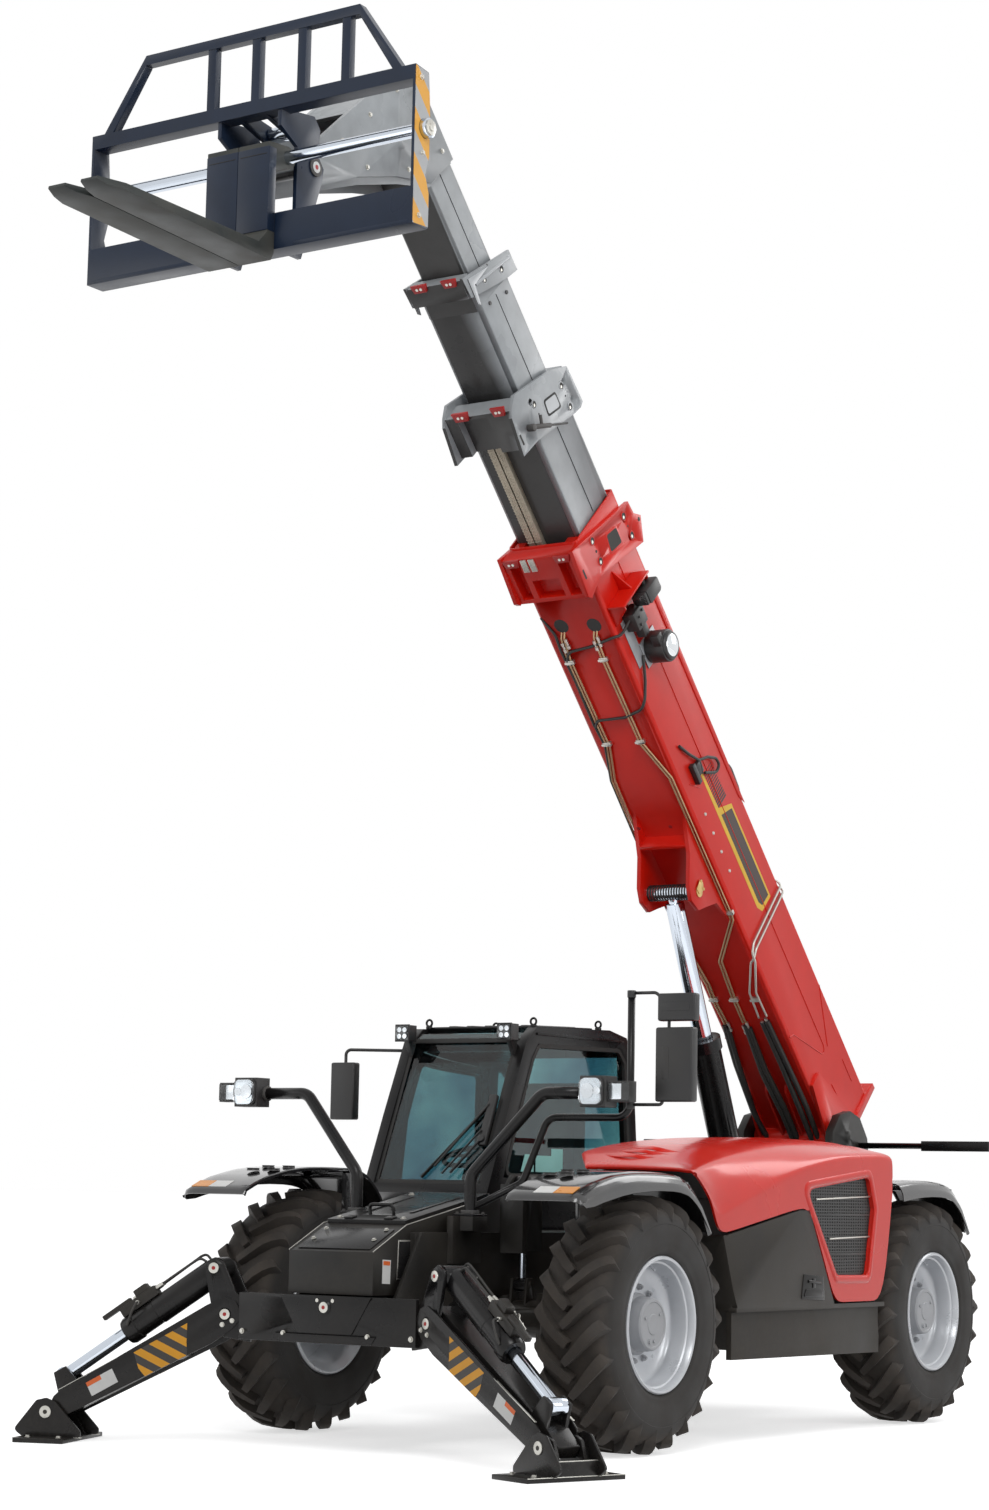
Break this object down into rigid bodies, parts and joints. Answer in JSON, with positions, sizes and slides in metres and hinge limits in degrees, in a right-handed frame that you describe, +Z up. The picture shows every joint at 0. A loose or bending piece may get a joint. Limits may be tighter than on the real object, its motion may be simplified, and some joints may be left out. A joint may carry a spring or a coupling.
{
  "type": "telescopic handler",
  "caption": "Telehandler with an offset cab, side engine pod, four-section telescopic boom, pallet forks and front stabilisers, boom raised and stabilisers down.",
  "frame": {"origin": "on the ground, at the centre of the bounding box seen from above", "axes": "-Y towards the front of the machine, +X to the machine's left, +Z up"},
  "size_m": [3.3594, 7.4854, 6.8987],
  "materials": {
    "red_paint": "gloss enamel, light dust",
    "grey_paint": "satin enamel",
    "black_paint": "satin enamel",
    "charcoal_paint": "satin enamel, scuffed",
    "silver_paint": "satin enamel",
    "chrome_rod": "ground and plated",
    "chain_steel": "oiled",
    "engine_iron": "painted casting",
    "tyre_rubber": "matt rubber",
    "black_plastic": "moulded",
    "cab_trim": "moulded trim and vinyl",
    "tinted_glass": "green-blue tint"
  },
  "bodies": {
    "chassis": {"chassis_frame": "black_paint", "stabilizer_beam": "black_paint", "axles": "black_paint", "engine_block": "engine_iron", "pod_body": "black_paint", "cab_shell": "black_paint", "cab_glass": "tinted_glass", "cab_interior": "cab_trim", "light_posts": "black_paint", "headlamps": "black_plastic", "mirrors": "black_plastic", "rear_light_bar": "black_paint", "side_tank": "black_paint", "leveling_cylinder": "black_paint"},
    "nose_hatch": {"nose_hatch": "black_paint"},
    "hood": {"engine_hood": "red_paint", "pod_grille": "black_paint"},
    "cab_door": {"cab_door": "black_paint", "cab_door_glass": "tinted_glass"},
    "boom": {"boom_base": "red_paint"},
    "section_2": {"boom_section_2": "grey_paint", "boom_chains": "chain_steel"},
    "section_3": {"boom_section_3": "grey_paint"},
    "section_4": {"boom_section_4": "grey_paint"},
    "lift_barrel": {"lift_barrel": "black_paint"},
    "lift_rod": {"lift_rod": "chrome_rod"},
    "tilt_barrel": {"tilt_barrel": "black_paint"},
    "tilt_rod": {"tilt_rod": "chrome_rod"},
    "carriage": {"carriage_frame": "charcoal_paint", "fork_shaft": "chrome_rod"},
    "fork_left": {"fork_left": "charcoal_paint"},
    "fork_right": {"fork_right": "charcoal_paint"},
    "knuckle_front_left": {"knuckle_front_left": "black_paint", "fender_front_left": "black_paint"},
    "wheel_front_left": {"tyre_front_left": "tyre_rubber", "rim_front_left": "silver_paint"},
    "knuckle_front_right": {"knuckle_front_right": "black_paint", "fender_front_right": "black_paint"},
    "wheel_front_right": {"tyre_front_right": "tyre_rubber", "rim_front_right": "silver_paint"},
    "knuckle_rear_left": {"knuckle_rear_left": "black_paint", "fender_rear_left": "black_paint"},
    "wheel_rear_left": {"tyre_rear_left": "tyre_rubber", "rim_rear_left": "silver_paint"},
    "knuckle_rear_right": {"knuckle_rear_right": "black_paint", "fender_rear_right": "black_paint"},
    "wheel_rear_right": {"tyre_rear_right": "tyre_rubber", "rim_rear_right": "silver_paint"},
    "stabilizer_leg_left": {"stabilizer_leg_left": "black_paint"},
    "stabilizer_barrel_left": {"stabilizer_barrel_left": "black_paint"},
    "stabilizer_rod_left": {"stabilizer_rod_left": "chrome_rod"},
    "stabilizer_foot_left": {"stabilizer_foot_left": "black_paint"},
    "stabilizer_leg_right": {"stabilizer_leg_right": "black_paint"},
    "stabilizer_barrel_right": {"stabilizer_barrel_right": "black_paint"},
    "stabilizer_rod_right": {"stabilizer_rod_right": "chrome_rod"},
    "stabilizer_foot_right": {"stabilizer_foot_right": "black_paint"}
  },
  "joints": [
    {"name": "boom_lift", "type": "hinge", "parent": "chassis", "child": "boom", "pos_m": [0, 3.206, 1.619], "axis": [-1, 0, 0], "range_deg": [-47, 24]},
    {"name": "boom_extend_2", "type": "slide", "parent": "boom", "child": "section_2", "axis": [0, -0.698, 0.7161], "range_m": [-0.44, 2.6]},
    {"name": "boom_extend_3", "type": "slide", "parent": "section_2", "child": "section_3", "axis": [0, -0.698, 0.7161], "range_m": [-0.44, 2.6]},
    {"name": "boom_extend_4", "type": "slide", "parent": "section_3", "child": "section_4", "axis": [0, -0.698, 0.7161], "range_m": [-0.44, 2.6]},
    {"name": "carriage_tilt", "type": "hinge", "parent": "section_4", "child": "carriage", "pos_m": [0, -2.2184, 6.1333], "axis": [1, 0, 0], "range_deg": [-55, 55]},
    {"name": "tilt_barrel_swing", "type": "hinge", "parent": "section_4", "child": "tilt_barrel", "pos_m": [0, -1.4806, 6.4867], "axis": [1, 0, 0], "range_deg": [-5, 5]},
    {"name": "tilt_rod_slide", "type": "slide", "parent": "tilt_barrel", "child": "tilt_rod", "axis": [0, -0.9791, -0.2034], "range_m": [-0.16, 0.16]},
    {"name": "fork_left_shift", "type": "slide", "parent": "carriage", "child": "fork_left", "axis": [1, 0, 0], "range_m": [0, 0.6]},
    {"name": "fork_right_shift", "type": "slide", "parent": "carriage", "child": "fork_right", "axis": [-1, 0, 0], "range_m": [0, 0.6]},
    {"name": "lift_barrel_swing", "type": "hinge", "parent": "chassis", "child": "lift_barrel", "pos_m": [0, 2.545, 0.95], "axis": [-1, 0, 0], "range_deg": [-47, 24]},
    {"name": "lift_rod_slide", "type": "slide", "parent": "lift_barrel", "child": "lift_rod", "axis": [0, -0.4146, 0.91], "range_m": [-0.76, 0.4]},
    {"name": "steer_front_left", "type": "hinge", "parent": "chassis", "child": "knuckle_front_left", "pos_m": [0.72, -0.47, 0.6248], "axis": [0, 0, 1], "range_deg": [-30, 30]},
    {"name": "spin_front_left", "type": "hinge", "parent": "knuckle_front_left", "child": "wheel_front_left", "pos_m": [1, -0.47, 0.6248], "axis": [1, 0, 0], "continuous": true},
    {"name": "steer_front_right", "type": "hinge", "parent": "chassis", "child": "knuckle_front_right", "pos_m": [-0.72, -0.47, 0.6248], "axis": [0, 0, 1], "range_deg": [-30, 30]},
    {"name": "spin_front_right", "type": "hinge", "parent": "knuckle_front_right", "child": "wheel_front_right", "pos_m": [-1, -0.47, 0.6248], "axis": [1, 0, 0], "continuous": true},
    {"name": "steer_rear_left", "type": "hinge", "parent": "chassis", "child": "knuckle_rear_left", "pos_m": [0.72, 2.6, 0.6248], "axis": [0, 0, 1], "range_deg": [-30, 30]},
    {"name": "spin_rear_left", "type": "hinge", "parent": "knuckle_rear_left", "child": "wheel_rear_left", "pos_m": [1, 2.6, 0.6248], "axis": [1, 0, 0], "continuous": true},
    {"name": "steer_rear_right", "type": "hinge", "parent": "chassis", "child": "knuckle_rear_right", "pos_m": [-0.72, 2.6, 0.6248], "axis": [0, 0, 1], "range_deg": [-30, 30]},
    {"name": "spin_rear_right", "type": "hinge", "parent": "knuckle_rear_right", "child": "wheel_rear_right", "pos_m": [-1, 2.6, 0.6248], "axis": [1, 0, 0], "continuous": true},
    {"name": "stabilizer_leg_left_lift", "type": "hinge", "parent": "chassis", "child": "stabilizer_leg_left", "pos_m": [0.634, -1.54, 0.636], "axis": [-0.342, -0.9397, 0], "range_deg": [-7, 50]},
    {"name": "stabilizer_barrel_left_swing", "type": "hinge", "parent": "chassis", "child": "stabilizer_barrel_left", "pos_m": [0.6941, -1.5619, 0.857], "axis": [-0.342, -0.9397, 0], "range_deg": [-10, 100]},
    {"name": "stabilizer_rod_left_slide", "type": "slide", "parent": "stabilizer_barrel_left", "child": "stabilizer_rod_left", "axis": [0.772, -0.281, -0.5702], "range_m": [-0.3, 0.04]},
    {"name": "stabilizer_foot_left_swivel", "type": "hinge", "parent": "stabilizer_leg_left", "child": "stabilizer_foot_left", "pos_m": [1.4823, -1.8487, 0.14], "axis": [-0.342, -0.9397, 0], "range_deg": [-20, 20]},
    {"name": "stabilizer_leg_right_lift", "type": "hinge", "parent": "chassis", "child": "stabilizer_leg_right", "pos_m": [-0.634, -1.54, 0.636], "axis": [-0.342, 0.9397, 0], "range_deg": [-7, 50]},
    {"name": "stabilizer_barrel_right_swing", "type": "hinge", "parent": "chassis", "child": "stabilizer_barrel_right", "pos_m": [-0.6941, -1.5619, 0.857], "axis": [-0.342, 0.9397, 0], "range_deg": [-10, 100]},
    {"name": "stabilizer_rod_right_slide", "type": "slide", "parent": "stabilizer_barrel_right", "child": "stabilizer_rod_right", "axis": [-0.772, -0.281, -0.5702], "range_m": [-0.3, 0.04]},
    {"name": "stabilizer_foot_right_swivel", "type": "hinge", "parent": "stabilizer_leg_right", "child": "stabilizer_foot_right", "pos_m": [-1.4823, -1.8487, 0.14], "axis": [-0.342, 0.9397, 0], "range_deg": [-20, 20]},
    {"name": "cab_door_swing", "type": "hinge", "parent": "chassis", "child": "cab_door", "pos_m": [-1.184, 1.467, 1.5], "axis": [0, 0, -1], "range_deg": [0, 85]},
    {"name": "hood_lift", "type": "hinge", "parent": "chassis", "child": "hood", "pos_m": [0.392, 1.065, 1.49], "axis": [0, -1, 0], "range_deg": [0, 60]},
    {"name": "nose_hatch_lift", "type": "hinge", "parent": "chassis", "child": "nose_hatch", "pos_m": [0, -0.567, 1.2343], "axis": [-1, 0, 0], "range_deg": [0, 75]}
  ],
  "couplings": [
    {"joint": "boom_extend_3", "follows": "boom_extend_2", "ratio": 1},
    {"joint": "boom_extend_4", "follows": "boom_extend_2", "ratio": 1},
    {"joint": "tilt_barrel_swing", "follows": "carriage_tilt", "ratio": -0.025},
    {"joint": "tilt_rod_slide", "follows": "carriage_tilt", "m_per_rad": 0.1585},
    {"joint": "lift_barrel_swing", "follows": "boom_lift", "ratio": 0.916},
    {"joint": "lift_rod_slide", "follows": "boom_lift", "m_per_rad": 0.905},
    {"joint": "steer_front_right", "follows": "steer_front_left", "ratio": 1},
    {"joint": "steer_rear_right", "follows": "steer_rear_left", "ratio": 1},
    {"joint": "stabilizer_barrel_left_swing", "follows": "stabilizer_leg_left_lift", "ratio": 1.01},
    {"joint": "stabilizer_rod_left_slide", "follows": "stabilizer_leg_left_lift", "m_per_rad": -0.223},
    {"joint": "stabilizer_barrel_right_swing", "follows": "stabilizer_leg_right_lift", "ratio": 1.01},
    {"joint": "stabilizer_rod_right_slide", "follows": "stabilizer_leg_right_lift", "m_per_rad": -0.223}
  ]
}
